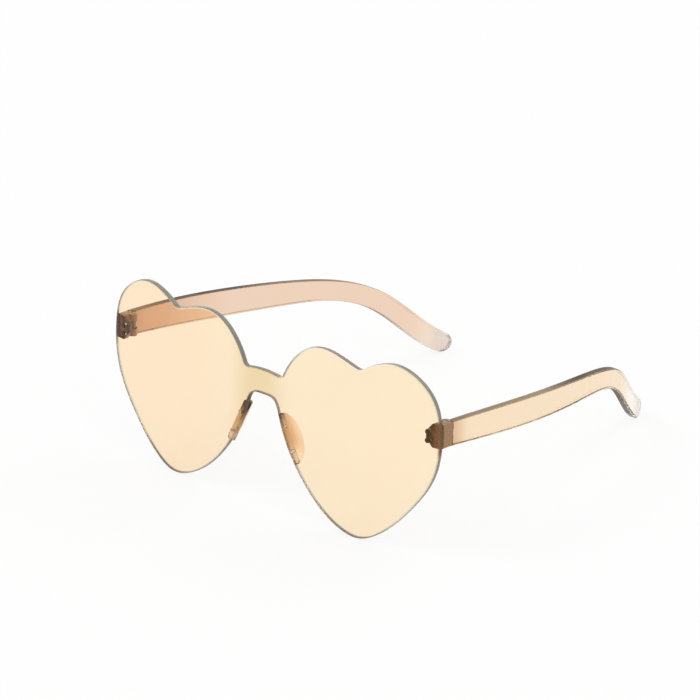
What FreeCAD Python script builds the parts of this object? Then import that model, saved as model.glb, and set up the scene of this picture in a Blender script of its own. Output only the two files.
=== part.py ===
import FreeCAD, Part
import math
import os
from FreeCAD import Vector

# Heart shaped sunglasses with a rimless one-piece front, in millimetres.
# Drawn upright: x = 0 is the middle, +Y runs back to the ears, z = 0 is the level of the heart tips.
# Side pieces are drawn for the wearer's left (+X) and mirrored for the right.
# The finished glasses are then laid down on the heart tips and the ear ends.

# Front
front_width = 145.0
heart_height = 63.0
lens_thickness = 2.0
face_curve_radius = 488.0
lens_edge_round = 0.5
notch_radius = 2.6
bridge_height = 8.5
bridge_crown = 0.9
bridge_corner_radius = 1.8

# Heart outline, as shares of half the front width and of the heart height
lobe_start_share = 0.112
lobe_shares = ((0.192, 0.889), (0.280, 0.960), (0.363, 0.976), (0.455, 0.956))
notch_shares = (0.563, 0.917)
rim_shares = (
    (0.670, 0.981), (0.748, 1.000), (0.868, 0.963), (0.966, 0.854), (1.000, 0.683), (0.972, 0.451),
    (0.852, 0.237), (0.714, 0.079), (0.566, 0.000), (0.462, 0.026), (0.324, 0.129), (0.178, 0.332),
    (0.100, 0.527), (0.062, 0.610),
)
bridge_underside_share = 0.619

# Nose pads
pad_length = 17.5
pad_depth = 4.4
pad_thickness = 2.4
pad_round = 0.9
pad_edge_inset = 0.1
pad_splay_deg = 26.0
pad_place_shares = (0.142, 0.410)
pad_peg_diameter = 1.3
pad_peg_root = 1.5
pad_peg_spacing = 8.4
pad_peg_offset = 0.3
pad_peg_clearance = 0.03

# End pieces
hinge_height_share = 0.6705
end_piece_height = 8.2
end_piece_depth = 4.2
end_piece_round = 0.7
end_tab_thickness = 1.8
end_tab_reach = 6.3
end_tab_shoulder = 3.9
end_tab_tip = 2.4

# Lens rivets
rivet_diameter = 1.2
rivet_head_diameter = 1.8
rivet_head_height = 0.45
rivet_head_round = 0.2
rivet_pitch = 3.0
rivet_inset = 4.6
rivet_clearance = 0.03

# Hinges, moulded in one with the end pieces and the arms
knuckle_diameter = 3.0
knuckle_height = 2.5
knuckle_gap = 0.12
hinge_cover = 1.65
hinge_clearance = 0.25
butt_gap = 0.15

# Hinge screws
screw_diameter = 1.2
screw_head_diameter = 2.0
screw_head_height = 0.7
screw_slot_width = 0.4
screw_slot_depth = 0.35
screw_clearance = 0.05
thread_clearance = 0.01

# Arms
temple_thickness = 3.0
temple_outset = 0.2
temple_butt_height = 8.4
temple_blade_height = 9.2
temple_ear_height = 7.0
temple_edge_round = 0.7
temple_length = 125.6
temple_drop = 31.4
temple_flat_length = 10.0
temple_bow_radius = 280.0
temple_bow_deg = 14.0
temple_bend_radius = 160.0
temple_bend_deg = 10.0

# Middle line of an arm, as shares of its length and of its drop
temple_line_shares = (
    (0.168, 0.039), (0.367, 0.101), (0.568, 0.164), (0.721, 0.254),
    (0.814, 0.405), (0.917, 0.743), (1.000, 1.000),
)
# Height of an arm at those places, as shares of the way from ear height to blade height
temple_blade_shares = (1.0, 1.0, 0.5, 0.0, 0.0, 0.0, 0.0)

# Reach of every cut past the solid that it cuts, and how near two points count as one
overrun = 10.0
match_distance = 0.001

half_width = front_width / 2
hinge_height = hinge_height_share * heart_height
bridge_underside = bridge_underside_share * heart_height
bridge_top = bridge_underside + bridge_height
lens_back_radius = face_curve_radius - lens_thickness
tab_back_radius = lens_back_radius - end_tab_thickness
knuckle_radius = knuckle_diameter / 2
knuckle_step = knuckle_height + knuckle_gap
stack_height = knuckle_height + 2 * knuckle_step
screw_radius = screw_diameter / 2
rivet_radius = rivet_diameter / 2
pad_peg_radius = pad_peg_diameter / 2


def surface_y(x, radius):
    # Depth of one of the curved faces of the front, which share an upright axis
    return face_curve_radius - math.sqrt(radius ** 2 - x ** 2)


side_outer_x = half_width + temple_outset
side_inner_x = side_outer_x - temple_thickness
hinge_x = side_outer_x - hinge_cover - knuckle_radius
hinge_y = surface_y(side_outer_x, lens_back_radius) + end_piece_depth
end_piece_back_y = hinge_y - butt_gap / 2
temple_front_y = hinge_y + butt_gap / 2


def curve_through(points):
    curve = Part.BSplineCurve()
    curve.interpolate(points)
    return curve


def line_between(start, end):
    return Part.LineSegment(start, end).toShape()


def box_between(low, high):
    size = high - low
    return Part.makeBox(size.x, size.y, size.z, low)


def behind_surface(radius):
    # All the room behind one of the curved faces of the front
    base = Vector(0, face_curve_radius, -overrun)
    return Part.makeCylinder(radius, heart_height + 2 * overrun, base)


def is_depth_edge(edge):
    start, end = [vertex.Point for vertex in edge.Vertexes[:2]]
    return abs(start.x - end.x) < match_distance and abs(start.z - end.z) < match_distance


def depth_edges_at(solid, places):
    # Front to back edges that pass through the given places of the outline
    found = []
    for edge in solid.Edges:
        if len(edge.Vertexes) == 2 and is_depth_edge(edge):
            start = edge.Vertexes[0].Point
            if any(abs(start.x - p.x) + abs(start.z - p.z) < match_distance for p in places):
                found.append(edge)
    return found


def prism_of(edges):
    # A prism from front to back over a flat outline
    outline = Part.Face(Part.Wire(Part.__sortEdges__(edges)))
    outline.translate(Vector(0, -overrun, 0))
    return outline.extrude(Vector(0, hinge_y + 2 * overrun, 0))


def mirrored(solid):
    return solid.mirror(Vector(0, 0, 0), Vector(1, 0, 0))


# Heart shaped front
def heart_point(shares, side):
    return Vector(side * shares[0] * half_width, 0, shares[1] * heart_height)


def bridge_corner(side):
    return Vector(side * lobe_start_share * half_width, 0, bridge_top - bridge_crown)


def lobe_curve(side):
    # Inner lobe of a heart, from the bridge to the notch
    middle = [heart_point(shares, side) for shares in lobe_shares]
    return curve_through([bridge_corner(side)] + middle + [heart_point(notch_shares, side)])


def rim_curve():
    # From the left notch round the left tip, over the nose and round the right tip to the right notch
    left = [heart_point(shares, 1) for shares in (notch_shares,) + rim_shares]
    right = [heart_point(shares, -1) for shares in (notch_shares,) + rim_shares]
    return curve_through(left + [Vector(0, 0, bridge_underside)] + right[::-1])


def front_plate():
    crown = Part.Arc(bridge_corner(-1), Vector(0, 0, bridge_top), bridge_corner(1))
    edges = [crown.toShape(), lobe_curve(1).toShape(), rim_curve().toShape(), lobe_curve(-1).toShape()]
    plate = prism_of(edges)
    notches = [heart_point(notch_shares, side) for side in (1, -1)]
    corners = [bridge_corner(side) for side in (1, -1)]
    plate = plate.makeFillet(notch_radius, depth_edges_at(plate, notches))
    plate = plate.makeFillet(bridge_corner_radius, depth_edges_at(plate, corners))
    return plate.common(behind_surface(face_curve_radius)).cut(behind_surface(lens_back_radius))


def is_broad_face(face):
    # One of the two curved faces of the front, not a hole or a corner
    surface = face.Surface
    return surface.TypeId.endswith("Cylinder") and surface.Radius > lens_back_radius - match_distance


def lens_front():
    # The holes are drilled first, then the outer edges of both faces are rounded
    holes = pad_pegs(pad_peg_clearance) + [rivet_hole(place) for place in rivet_places()]
    holes += [mirrored(hole) for hole in holes]
    plate = front_plate().cut(holes).Solids[0]
    rims = [face.OuterWire.Edges for face in plate.Faces if is_broad_face(face)]
    return plate.makeFillet(lens_edge_round, sum(rims, []))


# Nose pads
def pad_frame():
    # Middle of a pad's root, the direction along the nose edge and the direction into the lens
    rim = rim_curve()
    place = rim.parameter(heart_point(pad_place_shares, 1))
    edge = rim.value(place)
    along = Vector(*rim.tangent(place)[0])
    if along.z < 0:
        along = -along
    inward = Vector(along.z, 0, -along.x)
    root = edge + inward * (pad_edge_inset + pad_thickness / 2)
    root.y = surface_y(root.x, lens_back_radius)
    return root, along, inward


def pad_pegs(clearance):
    root, along, inward = pad_frame()
    pegs = []
    for end in (1, -1):
        foot = root + along * (end * pad_peg_spacing / 2) + inward * pad_peg_offset
        foot.y = -overrun
        reach = root.y + pad_peg_root + overrun
        pegs.append(Part.makeCylinder(pad_peg_radius + clearance, reach, foot, Vector(0, 1, 0)))
    return pegs


def nose_pad():
    root, along, inward = pad_frame()
    oval = Part.Ellipse(Vector(0, 0, pad_length / 2), Vector(0, pad_depth, 0), Vector(0, 0, 0))
    fin = Part.Face(Part.Wire(oval.toShape()))
    fin.translate(Vector(-pad_thickness / 2, 0, 0))
    fin = fin.extrude(Vector(pad_thickness, 0, 0))
    fin = fin.makeFillet(pad_round, [edge for edge in fin.Edges if not edge.Curve.TypeId.endswith("Line")])
    fin.rotate(Vector(0, 0, 0), Vector(0, 0, 1), -pad_splay_deg)
    lean = math.degrees(math.atan2(along.x, along.z))
    fin.rotate(Vector(0, 0, 0), Vector(0, 1, 0), lean)
    fin.translate(root)
    fin = fin.common(behind_surface(lens_back_radius))
    pegs = [peg.common(behind_surface(face_curve_radius)) for peg in pad_pegs(0)]
    return fin.fuse(pegs).removeSplitter()


# Rivets that hold the end pieces to the front
def rivet_places():
    # Where each rivet's middle line meets the front face, upper one first
    x = side_outer_x - rivet_inset
    y = surface_y(x, face_curve_radius)
    return [Vector(x, y, hinge_height + end * rivet_pitch / 2) for end in (1, -1)]


def rivet_line(place):
    # Straight back through the front, square to its curved faces
    return (Vector(0, face_curve_radius, place.z) - place).normalize()


def rivet_hole(place):
    line = rivet_line(place)
    return Part.makeCylinder(rivet_radius + rivet_clearance, 2 * overrun, place - line * overrun, line)


def rivet_head(place, line):
    head = Part.makeCylinder(rivet_head_diameter / 2, 2 * rivet_head_height, place, line)
    crown = [edge for edge in head.Edges if (edge.CenterOfMass - place).dot(line) > rivet_head_height]
    return head.makeFillet(rivet_head_round, crown)


def lens_rivet(place):
    line = rivet_line(place)
    grip = lens_thickness + end_tab_thickness
    foot = place - line * (rivet_head_height / 2)
    shank = Part.makeCylinder(rivet_radius, grip + rivet_head_height, foot, line)
    front_seat = place + line * rivet_head_height
    back_seat = place + line * (grip - rivet_head_height)
    front = rivet_head(front_seat, -line).cut(behind_surface(face_curve_radius))
    back = rivet_head(back_seat, line).common(behind_surface(tab_back_radius))
    return shank.fuse([front, back]).removeSplitter()


# End pieces
def end_tab():
    # Pointed tab that lies on the back of the lens
    half = end_piece_height / 2
    outline = [
        (side_outer_x, half), (side_outer_x - end_tab_shoulder, half),
        (side_outer_x - end_tab_reach, end_tab_tip / 2), (side_outer_x - end_tab_reach, -end_tab_tip / 2),
        (side_outer_x - end_tab_shoulder, -half), (side_outer_x, -half),
    ]
    points = [Vector(x, 0, hinge_height + z) for x, z in outline]
    edges = [line_between(a, b) for a, b in zip(points, points[1:] + points[:1])]
    tab = prism_of(edges)
    tab = tab.makeFillet(end_piece_round, depth_edges_at(tab, points))
    return tab.common(behind_surface(lens_back_radius)).cut(behind_surface(tab_back_radius))


def end_boss():
    # Upright block that carries the hinge, in line with the arm
    low = Vector(side_inner_x, 0, hinge_height - end_piece_height / 2)
    high = Vector(side_outer_x, end_piece_back_y, hinge_height + end_piece_height / 2)
    boss = box_between(low, high)
    corners = [Vector(side_outer_x, 0, low.z), Vector(side_outer_x, 0, high.z)]
    boss = boss.makeFillet(end_piece_round, depth_edges_at(boss, corners))
    return boss.common(behind_surface(lens_back_radius))


def end_piece():
    body = end_tab().fuse(end_boss()).removeSplitter()
    body = body.cut([rivet_hole(place) for place in rivet_places()] + [hinge_room()])
    upper = knuckle(1, screw_clearance, -1).cut(head_seat())
    lower = knuckle(-1, thread_clearance, -1)
    return body.fuse([upper, lower]).removeSplitter()


# Hinges
def hinge_room():
    # Round groove that clears the knuckles and lets a screwdriver in
    height = end_piece_height + 2 * overrun
    base = Vector(hinge_x, hinge_y, hinge_height - height / 2)
    return Part.makeCylinder(knuckle_radius + hinge_clearance, height, base)


def knuckle_foot(level):
    # Middle of a knuckle's lower end: level 1 is the upper one, 0 the arm's and -1 the lower one
    return Vector(hinge_x, hinge_y, hinge_height + level * knuckle_step - knuckle_height / 2)


def knuckle(level, bore_clearance, direction):
    # One knuckle, with the neck that joins it to the block in front or to the arm behind
    foot = knuckle_foot(level)
    barrel = Part.makeCylinder(knuckle_radius, knuckle_height, foot)
    neck_y = hinge_y + direction * (knuckle_radius + 2 * hinge_clearance)
    neck = box_between(
        Vector(side_inner_x, min(hinge_y, neck_y), foot.z),
        Vector(side_outer_x - hinge_cover, max(hinge_y, neck_y), foot.z + knuckle_height),
    )
    bore = Part.makeCylinder(screw_radius + bore_clearance, knuckle_height, foot)
    return barrel.fuse(neck).cut(bore)


def head_place():
    # Where the underside of the screw head rests, sunk in the upper knuckle
    return knuckle_foot(1) + Vector(0, 0, knuckle_height - screw_head_height)


def head_seat():
    radius = screw_head_diameter / 2 + screw_clearance
    return Part.makeCylinder(radius, screw_head_height + overrun, head_place())


def hinge_screw():
    shank = Part.makeCylinder(screw_radius, stack_height, knuckle_foot(-1))
    head = Part.makeCylinder(screw_head_diameter / 2, screw_head_height, head_place())
    slot_floor = head_place() + Vector(0, 0, screw_head_height - screw_slot_depth)
    slot = box_between(
        slot_floor + Vector(-screw_head_diameter, -screw_slot_width / 2, 0),
        slot_floor + Vector(screw_head_diameter, screw_slot_width / 2, screw_head_height),
    )
    return shank.fuse(head).removeSplitter().cut(slot)


# Arms
def outward(heading_deg):
    heading = math.radians(heading_deg)
    return Vector(math.cos(heading), math.sin(heading), 0)


def onward(heading_deg):
    heading = math.radians(heading_deg)
    return Vector(-math.sin(heading), math.cos(heading), 0)


def arc_about(centre, radius, start_deg, end_deg):
    points = [centre + outward(deg) * radius for deg in (start_deg, (start_deg + end_deg) / 2, end_deg)]
    return Part.Arc(*points).toShape()


def temple_strip():
    # Plan of an arm: straight at the hinge, a gentle bow, a tighter bend and a straight end
    half = temple_thickness / 2
    end_deg = temple_bow_deg + temple_bend_deg
    start = Vector(side_outer_x - half, temple_front_y, hinge_height - temple_drop - overrun)
    bow_start = start + onward(0) * temple_flat_length
    bow_centre = bow_start - outward(0) * temple_bow_radius
    bend_start = bow_centre + outward(temple_bow_deg) * temple_bow_radius
    bend_centre = bend_start - outward(temple_bow_deg) * temple_bend_radius
    bend_end = bend_centre + outward(end_deg) * temple_bend_radius
    tip = bend_end + onward(end_deg) * temple_length
    edges = []
    for offset in (half, -half):
        edges.append(line_between(start + outward(0) * offset, bow_start + outward(0) * offset))
        edges.append(arc_about(bow_centre, temple_bow_radius + offset, 0, temple_bow_deg))
        edges.append(arc_about(bend_centre, temple_bend_radius + offset, temple_bow_deg, end_deg))
        edges.append(line_between(bend_end + outward(end_deg) * offset, tip + outward(end_deg) * offset))
    edges.append(line_between(start + outward(0) * half, start - outward(0) * half))
    edges.append(line_between(tip + outward(end_deg) * half, tip - outward(end_deg) * half))
    plan = Part.Face(Part.Wire(Part.__sortEdges__(edges)))
    return plan.extrude(Vector(0, 0, temple_drop + temple_blade_height + 2 * overrun))


def temple_profile():
    # Side view of an arm, a blade that drops behind the ear and ends round
    start = Vector(0, temple_front_y, hinge_height)
    centres = [start + Vector(0, y * temple_length, -z * temple_drop) for y, z in temple_line_shares]
    line = curve_through([start] + centres)
    rise = Vector(0, 0, temple_butt_height / 2)
    top, bottom = [start + rise], [start - rise]
    for centre, share in zip(centres, temple_blade_shares):
        half = (temple_ear_height + share * (temple_blade_height - temple_ear_height)) / 2
        along = Vector(*line.tangent(line.parameter(centre))[0])
        square = Vector(0, -along.z, along.y)
        top.append(centre + square * half)
        bottom.append(centre - square * half)
    tip = centres[-1] + along * half
    lead = Vector(0, -overrun, 0)
    edges = [
        curve_through(top).toShape(),
        curve_through(bottom).toShape(),
        Part.Arc(top[-1], tip, bottom[-1]).toShape(),
        line_between(top[0], top[0] + lead),
        line_between(bottom[0], bottom[0] + lead),
        line_between(top[0] + lead, bottom[0] + lead),
    ]
    side = Part.Face(Part.Wire(Part.__sortEdges__(edges)))
    return side.extrude(Vector(2 * half_width, 0, 0)), centres[-1]


def is_long_edge(edge):
    # An edge along the arm or round its end, not one at the hinge or an upright seam
    start, end = [vertex.Point for vertex in edge.Vertexes[:2]]
    at_hinge = max(start.y, end.y) < temple_front_y + match_distance
    upright = abs(start.x - end.x) + abs(start.y - end.y) < match_distance
    return not at_hinge and not upright


def temple():
    profile, ear_end = temple_profile()
    blade = temple_strip().common(profile).Solids[0]
    blade = blade.makeFillet(temple_edge_round, [edge for edge in blade.Edges if is_long_edge(edge)])
    return blade.cut(hinge_room()).fuse(knuckle(0, screw_clearance, 1)).removeSplitter()


# Lying on a table
def rest_lean_deg():
    # Tilt that brings the ear ends down to the level of the heart tips
    profile, ear_end = temple_profile()
    tip = heart_point(min(rim_shares, key=lambda shares: shares[1]), 1)
    tip.y = surface_y(tip.x, lens_back_radius) - lens_edge_round
    reach = ear_end - tip
    span = math.hypot(reach.y, reach.z)
    return math.degrees(math.acos(temple_ear_height / 2 / span) - math.atan2(reach.y, reach.z))


def all_pieces():
    upper, lower = rivet_places()
    side_pieces = {
        "nose_pad": nose_pad(),
        "end_piece": end_piece(),
        "lens_rivet_upper": lens_rivet(upper),
        "lens_rivet_lower": lens_rivet(lower),
        "hinge_screw": hinge_screw(),
        "temple": temple(),
    }
    pieces = {"lens_front": lens_front()}
    for name, piece in side_pieces.items():
        pieces[name + "_left"] = piece
        pieces[name + "_right"] = mirrored(piece)
    return pieces


def lay_down(pieces):
    # Tilt every piece alike, then put the middle of the whole on the origin and its lowest point at z = 0
    lean_deg = rest_lean_deg()
    for piece in pieces.values():
        piece.rotate(Vector(0, 0, 0), Vector(1, 0, 0), -lean_deg)
    box = Part.Compound(list(pieces.values())).optimalBoundingBox(False, False)
    shift = Vector(0, -(box.YMin + box.YMax) / 2, -box.ZMin)
    for piece in pieces.values():
        piece.translate(shift)
    turn = FreeCAD.Rotation(Vector(1, 0, 0), -lean_deg)
    return FreeCAD.Placement(shift, turn)


def main():
    os.makedirs("parts", exist_ok=True)
    pieces = all_pieces()
    placement = lay_down(pieces)
    for name, piece in pieces.items():
        piece.exportStep("parts/" + name + ".step")
        print(name, "solids", len(piece.Solids), "valid", piece.isValid(), "volume", round(piece.Volume, 2))
    print("hinge at", placement.multVec(Vector(hinge_x, hinge_y, hinge_height)))
    print("hinge axis", placement.Rotation.multVec(Vector(0, 0, 1)))
    box = Part.Compound(list(pieces.values())).optimalBoundingBox(False, False)
    print("size", round(box.XLength, 2), round(box.YLength, 2), round(box.ZLength, 2))


main()
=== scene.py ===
import math

import bmesh
import bpy
from mathutils import Matrix, Vector

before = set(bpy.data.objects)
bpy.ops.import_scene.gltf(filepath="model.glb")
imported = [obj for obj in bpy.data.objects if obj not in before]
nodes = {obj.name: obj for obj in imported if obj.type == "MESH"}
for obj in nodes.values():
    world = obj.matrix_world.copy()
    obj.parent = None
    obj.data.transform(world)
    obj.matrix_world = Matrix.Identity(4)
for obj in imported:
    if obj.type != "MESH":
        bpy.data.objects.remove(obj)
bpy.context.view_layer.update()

scene = bpy.context.scene
scene.view_settings.view_transform = "Standard"
print("frame loaded:", len(nodes), "pieces")


# small helpers for the node trees

def plug(tree, value, socket):
    # a socket is linked, anything else is the socket's own value
    if isinstance(value, bpy.types.NodeSocket):
        tree.links.new(value, socket)
    else:
        socket.default_value = value


def addMath(tree, operation, first, second=0.0, third=0.0, clamp=False):
    node = tree.nodes.new("ShaderNodeMath")
    node.operation = operation
    node.use_clamp = clamp
    plug(tree, first, node.inputs[0])
    plug(tree, second, node.inputs[1])
    plug(tree, third, node.inputs[2])
    return node.outputs[0]


def addRange(tree, value, low, high, toLow, toHigh, smooth=False):
    node = tree.nodes.new("ShaderNodeMapRange")
    node.interpolation_type = "SMOOTHSTEP" if smooth else "LINEAR"
    plug(tree, value, node.inputs["Value"])
    for name, number in (("From Min", low), ("From Max", high), ("To Min", toLow), ("To Max", toHigh)):
        node.inputs[name].default_value = number
    return node.outputs["Result"]


# the colour sockets of a mix node
mixColours = (6, 7)
mixResult = 2


def addBlend(tree, share, first, second):
    # colour blend, from first at 0 to second at 1
    node = tree.nodes.new("ShaderNodeMix")
    node.data_type = "RGBA"
    plug(tree, share, node.inputs[0])
    for colour, socket in zip((first, second), mixColours):
        plug(tree, (*colour, 1) if isinstance(colour, tuple) else colour, node.inputs[socket])
    return node.outputs[mixResult]


def addNoise(tree, place, scale, detail, stretch=(1.0, 1.0, 1.0)):
    turn = tree.nodes.new("ShaderNodeMapping")
    turn.inputs["Scale"].default_value = stretch
    tree.links.new(place, turn.inputs["Vector"])
    noise = tree.nodes.new("ShaderNodeTexNoise")
    noise.inputs["Scale"].default_value = scale
    noise.inputs["Detail"].default_value = detail
    tree.links.new(turn.outputs["Vector"], noise.inputs["Vector"])
    return noise.outputs["Fac"]


def addBump(tree, height, depth, under=None):
    # depth in metres
    bump = tree.nodes.new("ShaderNodeBump")
    bump.inputs["Distance"].default_value = depth
    tree.links.new(height, bump.inputs["Height"])
    if under is not None:
        tree.links.new(under, bump.inputs["Normal"])
    return bump.outputs["Normal"]


def startMaterial(name):
    material = bpy.data.materials.new(name)
    material.use_nodes = True
    tree = material.node_tree
    tree.nodes.clear()
    shader = tree.nodes.new("ShaderNodeBsdfPrincipled")
    output = tree.nodes.new("ShaderNodeOutputMaterial")
    tree.links.new(shader.outputs["BSDF"], output.inputs["Surface"])
    coords = tree.nodes.new("ShaderNodeTexCoord")
    return material, tree, shader, coords


def addDye(tree, colour, density):
    # the dye in the plastic, deeper where the light goes further through it
    dye = tree.nodes.new("ShaderNodeVolumeAbsorption")
    dye.inputs["Color"].default_value = (*colour, 1)
    dye.inputs["Density"].default_value = density
    tree.links.new(dye.outputs["Volume"], tree.get_output_node("ALL").inputs["Volume"])


def edgeShare(tree, coords, facing, low, high):
    # 1 on the narrow edges of a flat moulding, 0 on its broad faces, which look along facing
    split = tree.nodes.new("ShaderNodeSeparateXYZ")
    tree.links.new(coords.outputs["Object"], split.inputs[0])
    broad = tree.nodes.new("ShaderNodeCombineXYZ")
    broad.inputs["Y"].default_value = facing["back"]
    broad.inputs["Z"].default_value = facing["up"]
    sideways = addMath(tree, "MULTIPLY_ADD", split.outputs["X"], facing["curve"], facing["side"])
    tree.links.new(sideways, broad.inputs["X"])
    unit = tree.nodes.new("ShaderNodeVectorMath")
    unit.operation = "NORMALIZE"
    tree.links.new(broad.outputs[0], unit.inputs[0])
    dot = tree.nodes.new("ShaderNodeVectorMath")
    dot.operation = "DOT_PRODUCT"
    tree.links.new(unit.outputs[0], dot.inputs[0])
    tree.links.new(coords.outputs["Normal"], dot.inputs[1])
    along = addMath(tree, "ABSOLUTE", dot.outputs["Value"])
    return addRange(tree, along, low, high, 1.0, 0.0, smooth=True)


def limitShare(tree, place, axis, middle, start, full):
    # from 0 at the start distance off the middle to 1 at the full distance, along one axis
    split = tree.nodes.new("ShaderNodeSeparateXYZ")
    tree.links.new(place, split.inputs[0])
    away = addMath(tree, "ABSOLUTE", addMath(tree, "SUBTRACT", split.outputs[axis], middle))
    return addRange(tree, away, start, full, 0.0, 1.0, smooth=True)


def touch(colour, *limits):
    # a local colour, used for tints and for painted light and shade, with each limit as axis, middle,
    # start distance and full distance in metres
    return dict(colour=colour, limits=limits)


def addTouches(tree, place, colour, touches):
    for spot in touches:
        share = limitShare(tree, place, *spot["limits"][0])
        for limit in spot["limits"][1:]:
            share = addMath(tree, "MULTIPLY", share, limitShare(tree, place, *limit))
        colour = addBlend(tree, share, colour, spot["colour"])
    return colour


def dress(material, *names):
    for name in names:
        for slot in nodes[name].material_slots:
            slot.material = material


def bothSides(name):
    return [name + "_left", name + "_right"]


plasticIor = 1.46
noiseLow, noiseHigh = 0.3, 0.7  # the span that most of a noise lies in


# tinted clear plastic of the front, the nose pads and the arms

# the way that a moulding's broad faces look, turned along x by the curve of the front
frontFacing = dict(side=0.0, back=-1.0, up=0.0547, curve=2.06)
sideFacing = dict(side=1.0, back=0.0, up=0.0, curve=0.0)

# flow marks of the moulding and handling marks
plasticMarks = dict(
    flowDetail=2.0, edgeVary=0.3,
    smudgeScale=95.0, smudgeDetail=5.0, smudgeLow=0.35, smudgeHigh=0.7,
    scratchScale=420.0, scratchDetail=4.0, scratchStretch=(1.0, 1.0, 0.06), scratchDepth=0.0000012,
    grainScale=1500.0, grainDetail=2.0, grainDepth=0.0000008,
)

lensPlastic = dict(
    pieces=["lens_front"], facing=frontFacing,
    edgeLow=0.955, edgeHigh=0.998, cornerLow=0.25, cornerHigh=0.55,
    faceColour=(0.995, 0.838, 0.620), facePale=(1.0, 0.858, 0.646),
    # edge colours: painted shade for the grey rim lines
    edgeDyeAndShade=(0.72, 0.71, 0.61), cornerDyeAndShade=(0.68, 0.69, 0.60),
    edgeTouches=[
        # nose edges, amber like the pads, with painted shade on the upper part on the right and the left
        touch((0.68, 0.42, 0.20), ("X", 0.0, 0.0165, 0.0135), ("Z", 0.0220, 0.0165, 0.0125)),
        touch((0.030, 0.018, 0.010), ("X", -0.0110, 0.0055, 0.0040), ("Z", 0.0330, 0.0065, 0.0040)),
        touch((0.10, 0.07, 0.045), ("X", 0.0100, 0.0055, 0.0040), ("Z", 0.0360, 0.0060, 0.0030)),
        # bridge, with painted shade on its underside
        touch((0.60, 0.50, 0.36), ("X", 0.0, 0.0080, 0.0060)),
        touch((0.080, 0.050, 0.028), ("X", 0.0, 0.0095, 0.0070), ("Z", 0.0385, 0.0055, 0.0035)),
        # edges brown by the end blocks, painted shade at the heart tips and a painted highlight at the
        # left notch
        touch((0.36, 0.18, 0.066), ("X", 0.0, 0.0706, 0.0718), ("Z", 0.0418, 0.0070, 0.0045)),
        touch((0.060, 0.050, 0.032), ("Z", 0.0, 0.0120, 0.0030)),
        touch((1.0, 0.95, 0.86), ("X", 0.038, 0.020, 0.012), ("Z", 0.063, 0.016, 0.012)),
    ],
    faceTouches=[
        touch((0.998, 0.822, 0.604), ("X", 0.070, 0.070, 0.105)),  # right heart, deeper in painted shade
        touch((0.885, 0.705, 0.445), ("X", -0.0025, 0.0150, 0.0020)),  # bridge
    ],
    dyeColour=(0.985, 0.67, 0.075), dyeDensity=26.0,
    edgeClear=0.66, glossColour=(0.38, 0.35, 0.32), glossLevel=0.5,
    roughLow=0.012, roughHigh=0.05, edgeRough=0.28, flowScale=26.0, flowDepth=0.00006,
)

padPlastic = dict(
    pieces=bothSides("nose_pad"), facing=sideFacing,
    edgeLow=0.05, edgeHigh=0.5, cornerLow=0.3, cornerHigh=0.7,
    faceColour=(0.99, 0.905, 0.84), facePale=(1.0, 0.93, 0.875),
    # edge colours: the pad's deeper tint on its edges together with painted shade
    edgeDyeAndShade=(0.86, 0.62, 0.38), cornerDyeAndShade=(0.76, 0.50, 0.27),
    edgeTouches=[
        touch((1.0, 0.94, 0.84), ("Z", 0.040, 0.0145, 0.0195)),  # lower ends
        # painted shade at the upper ends, right and left
        touch((0.050, 0.032, 0.020), ("X", -0.0115, 0.0120, 0.0060), ("Z", 0.015, 0.0135, 0.0165)),
        touch((0.18, 0.12, 0.075), ("X", 0.0115, 0.0120, 0.0060), ("Z", 0.015, 0.0160, 0.0190)),
        touch((0.45, 0.27, 0.14), ("Y", -0.0634, 0.0046, 0.0056)),  # pegs
    ],
    faceTouches=[
        # deeper at the lens, paler below
        touch((0.73, 0.465, 0.30), ("Y", -0.0634, 0.0008, 0.0034), ("Z", 0.0345, 0.0140, 0.0075)),
        touch((1.0, 0.96, 0.92), ("Z", 0.0345, 0.0105, 0.0145)),
    ],
    dyeColour=(0.95, 0.55, 0.08), dyeDensity=90.0,
    edgeClear=0.6, glossColour=(0.6, 0.55, 0.5), glossLevel=0.5,
    roughLow=0.06, roughHigh=0.18, edgeRough=0.25, flowScale=60.0, flowDepth=0.00004,
)

armPlastic = dict(
    facing=sideFacing, edgeLow=0.35, edgeHigh=0.88, cornerLow=0.3, cornerHigh=0.7,
    # edge colours: painted shade, dark along the arms' edges
    edgeDyeAndShade=(0.24, 0.18, 0.11), cornerDyeAndShade=(0.17, 0.125, 0.07),
    dyeColour=(0.95, 0.62, 0.18), dyeDensity=31.0,
    edgeClear=0.15, glossColour=(0.30, 0.27, 0.24), glossLevel=0.2,
    roughLow=0.02, roughHigh=0.07, edgeRough=0.60, flowScale=34.0, flowDepth=0.00005,
)
# painted shade along the arms' top edges
armTopEdgeShade = (0.034, 0.024, 0.014)
earEdge = (0.97, 0.95, 0.92)
leftEar = ("Y", -0.060, 0.118, 0.130)
rightEar = ("Y", -0.060, 0.104, 0.124)
# the edges fade out at the ear, and the tip is a little milky
armEnd = dict(edgeFade=0.4, tip=("Y", -0.060, 0.122, 0.129), tipCover=0.45)

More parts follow.
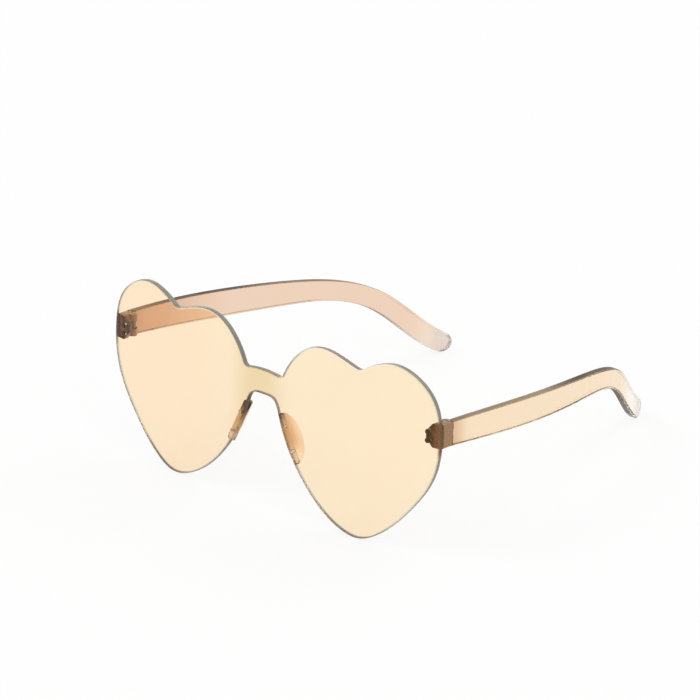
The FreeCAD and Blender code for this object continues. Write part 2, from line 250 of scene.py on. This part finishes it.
# the right arm's deeper colour is painted shade, and both arms have painted shade towards the hinge
leftArmPlastic = dict(
    armPlastic, pieces=["temple_left"], earEnd=dict(armEnd, ear=leftEar),
    faceColour=(0.950, 0.785, 0.585), facePale=(0.962, 0.80, 0.61),
    edgeTouches=[
        touch(armTopEdgeShade, ("Y", 0.030, 0.042, 0.022)),
        touch(earEdge, leftEar),
    ],
    faceTouches=[
        touch((0.757, 0.511, 0.32), ("Y", -0.060, 0.012, 0.003)),  # painted shade at the hinge
        touch((0.99, 0.975, 0.94), ("Y", -0.060, 0.106, 0.119)),  # ear
    ],
)
rightArmShadedPlastic = dict(
    armPlastic, pieces=["temple_right"], earEnd=dict(armEnd, ear=rightEar),
    faceColour=(0.87, 0.668, 0.532), facePale=(0.885, 0.684, 0.55),
    edgeTouches=[
        touch(armTopEdgeShade, ("Y", -0.020, 0.036, 0.018)),
        touch(earEdge, rightEar),
    ],
    faceTouches=[
        touch((0.68, 0.43, 0.30), ("Y", -0.060, 0.050, 0.004)),  # painted shade on the front half
        touch((0.58, 0.375, 0.262), ("Y", -0.060, 0.010, 0.004)),  # painted shade at the hinge
        touch((0.93, 0.86, 0.79), ("Y", -0.060, 0.114, 0.131)),  # ear
    ],
)


def makeClearPlastic(name, look, marks):
    material, tree, shader, coords = startMaterial(name)
    place = coords.outputs["Object"]
    edge = edgeShare(tree, coords, look["facing"], look["edgeLow"], look["edgeHigh"])
    flat = edgeShare(tree, coords, look["facing"], look["cornerLow"], look["cornerHigh"])
    flow = addNoise(tree, place, look["flowScale"], marks["flowDetail"])
    smudge = addNoise(tree, place, marks["smudgeScale"], marks["smudgeDetail"])
    scratch = addNoise(tree, place, marks["scratchScale"], marks["scratchDetail"], marks["scratchStretch"])
    grain = addNoise(tree, place, marks["grainScale"], marks["grainDetail"])
    # the edges are painted with shade, standing in for the dark lines that clear plastic shows along its
    # edges, over the plastic's own tint; the rounded corners of an edge have their own colour
    rimDyeAndShade = addBlend(tree, flat, look["cornerDyeAndShade"], look["edgeDyeAndShade"])
    rimDyeAndShade = addTouches(tree, place, rimDyeAndShade, look["edgeTouches"])
    faceDyeAndShade = addBlend(tree, smudge, look["faceColour"], look["facePale"])
    faceDyeAndShade = addTouches(tree, place, faceDyeAndShade, look["faceTouches"])
    earEnd = look.get("earEnd")
    if earEnd:
        atEar = limitShare(tree, place, *earEnd["ear"])
        fade = addRange(tree, atEar, 0.0, 1.0, 1.0, 1.0 - earEnd["edgeFade"])
        edge = addMath(tree, "MULTIPLY", edge, fade)
    # the painted edge shade varies at random along the flow marks
    vary = addRange(tree, flow, noiseLow, noiseHigh, 1.0 - marks["edgeVary"], 1.0)
    share = addMath(tree, "MULTIPLY", edge, vary)
    if earEnd:
        cover = addMath(tree, "MULTIPLY", limitShare(tree, place, *earEnd["tip"]), earEnd["tipCover"])
        share = addMath(tree, "MAXIMUM", share, cover)
    # faces take the tint and edges their painted shade, which shows more because the edges are made less
    # clear
    tree.links.new(addBlend(tree, share, faceDyeAndShade, rimDyeAndShade), shader.inputs["Base Color"])
    clear = addRange(tree, share, 0.0, 1.0, 1.0, look["edgeClear"])
    tree.links.new(clear, shader.inputs["Transmission Weight"])
    faceRough = addRange(
        tree, smudge, marks["smudgeLow"], marks["smudgeHigh"], look["roughLow"], look["roughHigh"])
    rough = addMath(tree, "ADD", faceRough, addMath(tree, "MULTIPLY", edge, look["edgeRough"]))
    tree.links.new(rough, shader.inputs["Roughness"])
    normal = addBump(tree, flow, look["flowDepth"])
    normal = addBump(tree, scratch, marks["scratchDepth"], normal)
    normal = addBump(tree, grain, marks["grainDepth"], normal)
    tree.links.new(normal, shader.inputs["Normal"])
    shader.inputs["Specular Tint"].default_value = (*look["glossColour"], 1)
    shader.inputs["Specular IOR Level"].default_value = look["glossLevel"]
    shader.inputs["IOR"].default_value = plasticIor
    addDye(tree, look["dyeColour"], look["dyeDensity"])
    return material


clearPlastics = dict(
    lensPlastic=lensPlastic, padPlastic=padPlastic,
    leftArmPlastic=leftArmPlastic, rightArmShadedPlastic=rightArmShadedPlastic,
)
for name, look in clearPlastics.items():
    dress(makeClearPlastic(name, look, plasticMarks), *look["pieces"])
print("clear plastic done")


# smoky brown end blocks, partly see-through

endBlock = dict(
    cloudScale=210.0, cloudDetail=3.0, cloudDepth=0.00004,
    grainScale=2400.0, grainDetail=2.0, grainDepth=0.000003,
    dyeColour=(0.80, 0.50, 0.16), dyeDensity=420.0, clear=0.3, roughLow=0.14, roughHigh=0.34,
)
# painted light and shade: the left one is paler on its outer side, and the right one is darker all over
# and darker at the lens than at the hinge
endBlocks = dict(
    leftBlockLitPlastic=dict(
        endBlock, pieces=["end_piece_left"], glossColour=(0.30, 0.21, 0.13),
        darkColour=(0.10, 0.040, 0.008), lightColour=(0.40, 0.21, 0.07),
        touches=[touch((0.46, 0.28, 0.14), ("X", 0.0, 0.0675, 0.0718))],
    ),
    rightBlockShadedPlastic=dict(
        endBlock, pieces=["end_piece_right"], glossColour=(0.22, 0.12, 0.06),
        darkColour=(0.062, 0.017, 0.004), lightColour=(0.19, 0.066, 0.015),
        touches=[touch((0.62, 0.34, 0.15), ("Y", -0.0640, 0.0012, 0.0055))],
    ),
)


def makeEndBlock(name, look):
    material, tree, shader, coords = startMaterial(name)
    place = coords.outputs["Object"]
    cloud = addNoise(tree, place, look["cloudScale"], look["cloudDetail"])
    grain = addNoise(tree, place, look["grainScale"], look["grainDetail"])
    share = addRange(tree, cloud, noiseLow, noiseHigh, 0.0, 1.0, smooth=True)
    colour = addBlend(tree, share, look["darkColour"], look["lightColour"])
    colour = addTouches(tree, place, colour, look["touches"])
    tree.links.new(colour, shader.inputs["Base Color"])
    rough = addRange(tree, grain, noiseLow, noiseHigh, look["roughLow"], look["roughHigh"])
    tree.links.new(rough, shader.inputs["Roughness"])
    normal = addBump(tree, cloud, look["cloudDepth"])
    normal = addBump(tree, grain, look["grainDepth"], normal)
    tree.links.new(normal, shader.inputs["Normal"])
    shader.inputs["Transmission Weight"].default_value = look["clear"]
    shader.inputs["Specular Tint"].default_value = (*look["glossColour"], 1)
    shader.inputs["IOR"].default_value = plasticIor
    addDye(tree, look["dyeColour"], look["dyeDensity"])
    return material


for name, look in endBlocks.items():
    dress(makeEndBlock(name, look), *look["pieces"])
print("end blocks done")


# dark brown plastic of the rivets that hold the end blocks

rivetPlastic = dict(
    pieces=bothSides("lens_rivet_upper") + bothSides("lens_rivet_lower"),
    darkColour=(0.045, 0.021, 0.007), lightColour=(0.105, 0.055, 0.021), glossColour=(0.32, 0.20, 0.09),
    cloudScale=900.0, cloudDetail=3.0, grainScale=5200.0, grainDetail=2.0, grainDepth=0.000003,
    roughLow=0.22, roughHigh=0.42,
)


def makeRivetPlastic(look):
    material, tree, shader, coords = startMaterial("brownRivetPlastic")
    place = coords.outputs["Object"]
    cloud = addNoise(tree, place, look["cloudScale"], look["cloudDetail"])
    grain = addNoise(tree, place, look["grainScale"], look["grainDetail"])
    colour = addBlend(tree, cloud, look["darkColour"], look["lightColour"])
    tree.links.new(colour, shader.inputs["Base Color"])
    rough = addRange(tree, grain, noiseLow, noiseHigh, look["roughLow"], look["roughHigh"])
    tree.links.new(rough, shader.inputs["Roughness"])
    tree.links.new(addBump(tree, grain, look["grainDepth"]), shader.inputs["Normal"])
    shader.inputs["Specular Tint"].default_value = (*look["glossColour"], 1)
    shader.inputs["IOR"].default_value = plasticIor
    return material


dress(makeRivetPlastic(rivetPlastic), *rivetPlastic["pieces"])
print("rivets done")


# turned steel of the hinge screws

screwSteel = dict(
    pieces=bothSides("hinge_screw"), brightColour=(0.46, 0.38, 0.28), dullColour=(0.24, 0.19, 0.13),
    stainScale=650.0, stainDetail=4.0, stainLow=0.35, stainHigh=0.75,
    brushScale=5200.0, brushDetail=2.0, brushStretch=(1.0, 1.0, 0.05), brushLow=0.25, brushHigh=0.75,
    brushDepth=0.000004, roughLow=0.154, roughHigh=0.352,
)


def makeScrewSteel(look):
    material, tree, shader, coords = startMaterial("screwSteel")
    place = coords.outputs["Object"]
    stain = addNoise(tree, place, look["stainScale"], look["stainDetail"])
    brush = addNoise(tree, place, look["brushScale"], look["brushDetail"], look["brushStretch"])
    share = addRange(tree, stain, look["stainLow"], look["stainHigh"], 0.0, 1.0, smooth=True)
    colour = addBlend(tree, share, look["brightColour"], look["dullColour"])
    tree.links.new(colour, shader.inputs["Base Color"])
    rough = addRange(tree, brush, look["brushLow"], look["brushHigh"], look["roughLow"], look["roughHigh"])
    tree.links.new(rough, shader.inputs["Roughness"])
    tree.links.new(addBump(tree, brush, look["brushDepth"]), shader.inputs["Normal"])
    shader.inputs["Metallic"].default_value = 1.0
    return material


dress(makeScrewSteel(screwSteel), *screwSteel["pieces"])
print("screws done")


# studio: white world, pale floor, soft lamps

studio = dict(
    worldColour=(1.0, 1.0, 1.0), worldLevel=0.74, floorSize=6.0, floorCuts=2, floorDrop=0.00003,
    floorColour=(0.97, 0.97, 0.97), floorGlow=0.84, lampAim=(0.0, 0.0, 0.03),
)
lamps = {
    "keyLamp": dict(place=(-0.7, -0.9, 1.3), size=0.9, power=5.0, colour=(1.0, 0.985, 0.96)),
    "fillLamp": dict(place=(1.2, -0.3, 0.8), size=0.8, power=2.5, colour=(0.97, 0.985, 1.0)),
    "backLamp": dict(place=(0.2, 1.2, 1.1), size=0.8, power=3.0, colour=(1.0, 1.0, 1.0)),
}


def directSight(tree):
    # 1 for what is seen straight, mirrored or through clear plastic, 0 for light that falls on things
    path = tree.nodes.new("ShaderNodeLightPath")
    seen = addMath(tree, "MAXIMUM", path.outputs["Is Camera Ray"], path.outputs["Is Glossy Ray"])
    seen = addMath(tree, "MAXIMUM", seen, path.outputs["Is Transmission Ray"])
    return addMath(tree, "SUBTRACT", seen, path.outputs["Diffuse Depth"], clamp=True)


def makeWorld(look):
    world = bpy.data.worlds.new("whiteStudio")
    scene.world = world
    world.use_nodes = True
    tree = world.node_tree
    tree.nodes.clear()
    sky = tree.nodes.new("ShaderNodeBackground")
    output = tree.nodes.new("ShaderNodeOutputWorld")
    sky.inputs["Color"].default_value = (*look["worldColour"], 1)
    strength = addRange(tree, directSight(tree), 0.0, 1.0, look["worldLevel"], 1.0)
    tree.links.new(strength, sky.inputs["Strength"])
    tree.links.new(sky.outputs[0], output.inputs["Surface"])


def makeFloor(look):
    mesh = bpy.data.meshes.new("floor")
    shape = bmesh.new()
    cuts = look["floorCuts"]
    bmesh.ops.create_grid(shape, x_segments=cuts, y_segments=cuts, size=look["floorSize"] / 2)
    bmesh.ops.translate(shape, verts=shape.verts, vec=(0, 0, -look["floorDrop"]))
    shape.to_mesh(mesh)
    shape.free()
    floor = bpy.data.objects.new("floor", mesh)
    scene.collection.objects.link(floor)
    material = bpy.data.materials.new("paleFloor")
    material.use_nodes = True
    tree = material.node_tree
    tree.nodes.clear()
    paint = tree.nodes.new("ShaderNodeBsdfDiffuse")
    glow = tree.nodes.new("ShaderNodeEmission")
    blend = tree.nodes.new("ShaderNodeMixShader")
    output = tree.nodes.new("ShaderNodeOutputMaterial")
    paint.inputs["Color"].default_value = (*look["floorColour"], 1)
    share = addMath(tree, "MULTIPLY", directSight(tree), look["floorGlow"])
    tree.links.new(share, blend.inputs[0])
    tree.links.new(paint.outputs[0], blend.inputs[1])
    tree.links.new(glow.outputs[0], blend.inputs[2])
    tree.links.new(blend.outputs[0], output.inputs["Surface"])
    mesh.materials.append(material)


def makeLamp(name, look, aim):
    data = bpy.data.lights.new(name, "AREA")
    data.shape = "DISK"
    data.size = look["size"]
    data.energy = look["power"]
    data.color = look["colour"]
    lamp = bpy.data.objects.new(name, data)
    lamp.location = look["place"]
    lamp.rotation_euler = (Vector(aim) - Vector(look["place"])).to_track_quat("-Z", "Y").to_euler()
    scene.collection.objects.link(lamp)


makeWorld(studio)
makeFloor(studio)
for name, look in lamps.items():
    makeLamp(name, look, studio["lampAim"])
print("studio done")


# camera at the photograph's place, a long lens from the wearer's front left

photoCamera = dict(
    place=(1.2472, -1.3662, 0.7997), aim=(0.00735, -0.03467, 0.0460), rollDeg=-0.71,
    lens=308.7, sensor=36.0,
)


def makeCamera(look):
    data = bpy.data.cameras.new("photoCamera")
    data.lens = look["lens"]
    data.sensor_width = look["sensor"]
    camera = bpy.data.objects.new("photoCamera", data)
    place = Vector(look["place"])
    level = (Vector(look["aim"]) - place).to_track_quat("-Z", "Y").to_matrix()
    turn = level @ Matrix.Rotation(math.radians(look["rollDeg"]), 3, "Z")
    camera.location = place
    camera.rotation_euler = turn.to_euler()
    scene.collection.objects.link(camera)
    scene.camera = camera


makeCamera(photoCamera)
print("camera done")
